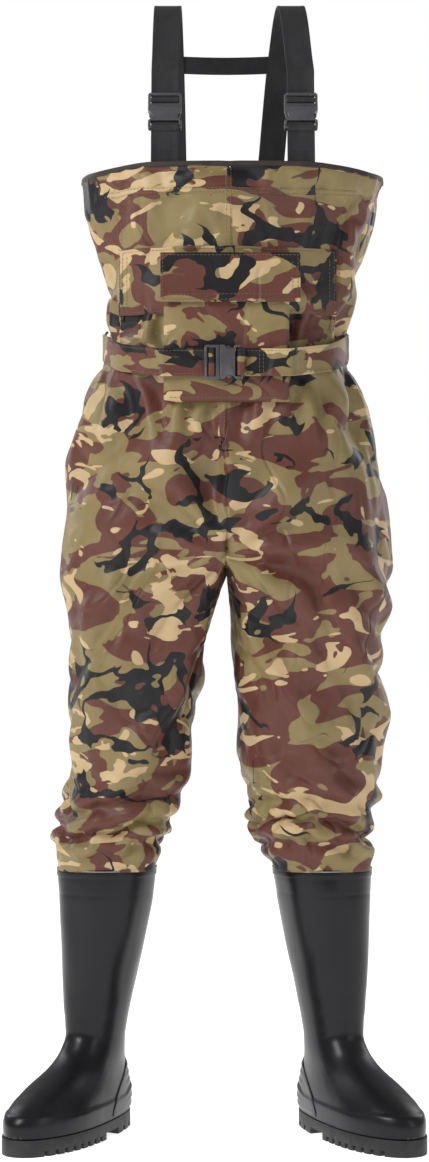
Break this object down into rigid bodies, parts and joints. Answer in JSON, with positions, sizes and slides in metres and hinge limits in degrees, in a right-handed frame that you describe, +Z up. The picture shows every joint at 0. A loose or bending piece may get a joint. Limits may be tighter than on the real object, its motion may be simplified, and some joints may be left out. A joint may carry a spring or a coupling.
{
  "type": "chest waders",
  "caption": "Camouflage fabric chest waders on moulded black boots, with shoulder straps and belt that release at side-squeeze buckles, and a flapped chest pocket.",
  "frame": {"origin": "on the ground, under the middle of the overall box", "axes": "+Z up, the front faces -Y, the wearer's left is +X"},
  "size_m": [0.5586, 0.2852, 1.5135],
  "materials": {
    "camo_fabric": "satin",
    "camo_webbing": "satin",
    "black_webbing": "matte",
    "closure_tape": "matte",
    "buckle_plastic": "satin",
    "boot_pvc": "satin",
    "sole_rubber": "matte",
    "insole_felt": "matte"
  },
  "bodies": {
    "root": {"bib_front": "camo_fabric", "bib_back": "camo_fabric", "seat_left": "camo_fabric", "seat_right": "camo_fabric", "thigh_left": "camo_fabric", "knee_left": "camo_fabric", "thigh_right": "camo_fabric", "knee_right": "camo_fabric", "bib_hem": "camo_webbing", "hand_warmer_panel": "camo_fabric", "pocket_pouch": "camo_fabric", "flap_seam": "camo_fabric", "pocket_loop_tape": "closure_tape", "left_shoulder_socket": "buckle_plastic", "left_anchor_web": "black_webbing", "left_shoulder_strap": "black_webbing", "right_shoulder_socket": "buckle_plastic", "right_anchor_web": "black_webbing", "right_shoulder_strap": "black_webbing", "cross_strap": "black_webbing", "belt_socket": "buckle_plastic", "belt_webbing": "camo_webbing", "belt_loop_left": "camo_webbing", "belt_loop_right": "camo_webbing", "belt_loop_back": "camo_webbing"},
    "left_lower_leg": {"shin_left": "camo_fabric", "boot_left": "boot_pvc", "outsole_left": "sole_rubber", "insole_left": "insole_felt", "heel_counter_left": "boot_pvc", "top_band_left": "boot_pvc"},
    "right_lower_leg": {"shin_right": "camo_fabric", "boot_right": "boot_pvc", "outsole_right": "sole_rubber", "insole_right": "insole_felt", "heel_counter_right": "boot_pvc", "top_band_right": "boot_pvc"},
    "pocket_flap": {"pocket_flap": "camo_fabric", "flap_hook_tape": "closure_tape"},
    "left_shoulder_ladder": {"left_shoulder_ladder": "buckle_plastic", "left_shoulder_bar_turn": "black_webbing"},
    "left_shoulder_prong_a": {"left_shoulder_prong_a": "buckle_plastic"},
    "left_shoulder_prong_b": {"left_shoulder_prong_b": "buckle_plastic"},
    "right_shoulder_ladder": {"right_shoulder_ladder": "buckle_plastic", "right_shoulder_bar_turn": "black_webbing"},
    "right_shoulder_prong_a": {"right_shoulder_prong_a": "buckle_plastic"},
    "right_shoulder_prong_b": {"right_shoulder_prong_b": "buckle_plastic"},
    "belt_ladder": {"belt_ladder": "buckle_plastic", "belt_bar_turn": "camo_webbing"},
    "belt_prong_a": {"belt_prong_a": "buckle_plastic"},
    "belt_prong_b": {"belt_prong_b": "buckle_plastic"}
  },
  "joints": [
    {"name": "pocket_flap_hinge", "type": "hinge", "parent": "root", "child": "pocket_flap", "pos_m": [0.0205, -0.12989, 1.168], "axis": [-1, 0, 0], "range_deg": [0, 170]},
    {"name": "left_knee", "type": "hinge", "parent": "root", "child": "left_lower_leg", "pos_m": [0.129, 0.03858, 0.5], "axis": [1, 0, 0], "range_deg": [0, 60], "deforming": ["knee_left"]},
    {"name": "right_knee", "type": "hinge", "parent": "root", "child": "right_lower_leg", "pos_m": [-0.12, 0.03858, 0.5], "axis": [1, 0, 0], "range_deg": [0, 60], "deforming": ["knee_right"]},
    {"name": "belt_buckle_slide", "type": "slide", "parent": "root", "child": "belt_ladder", "axis": [-1, 0, 0], "range_m": [0, 0.03], "deforming": ["belt_prong_a", "belt_prong_b"]},
    {"name": "belt_prong_a_press", "type": "hinge", "parent": "belt_ladder", "child": "belt_prong_a", "pos_m": [0.007, -0.13279, 1.0393], "axis": [0, 1, 0], "range_deg": [0, 12], "stiffness_Nm_per_rad": 0.2},
    {"name": "belt_prong_b_press", "type": "hinge", "parent": "belt_ladder", "child": "belt_prong_b", "pos_m": [0.007, -0.13279, 1.0127], "axis": [0, 1, 0], "range_deg": [-12, 0], "stiffness_Nm_per_rad": 0.2},
    {"name": "left_shoulder_buckle_slide", "type": "slide", "parent": "root", "child": "left_shoulder_ladder", "axis": [0, 0.2419, 0.9703], "range_m": [0, 0.03], "deforming": ["left_shoulder_prong_a", "left_shoulder_prong_b"]},
    {"name": "left_shoulder_prong_a_press", "type": "hinge", "parent": "left_shoulder_ladder", "child": "left_shoulder_prong_a", "pos_m": [0.1263, -0.07923, 1.36277], "axis": [0, 0.9703, -0.2419], "range_deg": [0, 12], "stiffness_Nm_per_rad": 0.2},
    {"name": "left_shoulder_prong_b_press", "type": "hinge", "parent": "left_shoulder_ladder", "child": "left_shoulder_prong_b", "pos_m": [0.0997, -0.07923, 1.36277], "axis": [0, 0.9703, -0.2419], "range_deg": [-12, 0], "stiffness_Nm_per_rad": 0.2},
    {"name": "right_shoulder_buckle_slide", "type": "slide", "parent": "root", "child": "right_shoulder_ladder", "axis": [0, 0.2419, 0.9703], "range_m": [0, 0.03], "deforming": ["right_shoulder_prong_a", "right_shoulder_prong_b"]},
    {"name": "right_shoulder_prong_a_press", "type": "hinge", "parent": "right_shoulder_ladder", "child": "right_shoulder_prong_a", "pos_m": [-0.0517, -0.07963, 1.36277], "axis": [0, 0.9703, -0.2419], "range_deg": [0, 12], "stiffness_Nm_per_rad": 0.2},
    {"name": "right_shoulder_prong_b_press", "type": "hinge", "parent": "right_shoulder_ladder", "child": "right_shoulder_prong_b", "pos_m": [-0.0783, -0.07963, 1.36277], "axis": [0, 0.9703, -0.2419], "range_deg": [-12, 0], "stiffness_Nm_per_rad": 0.2}
  ],
  "couplings": [
    {"joint": "belt_prong_b_press", "follows": "belt_prong_a_press", "ratio": -1},
    {"joint": "left_shoulder_prong_b_press", "follows": "left_shoulder_prong_a_press", "ratio": -1},
    {"joint": "right_shoulder_prong_b_press", "follows": "right_shoulder_prong_a_press", "ratio": -1}
  ]
}
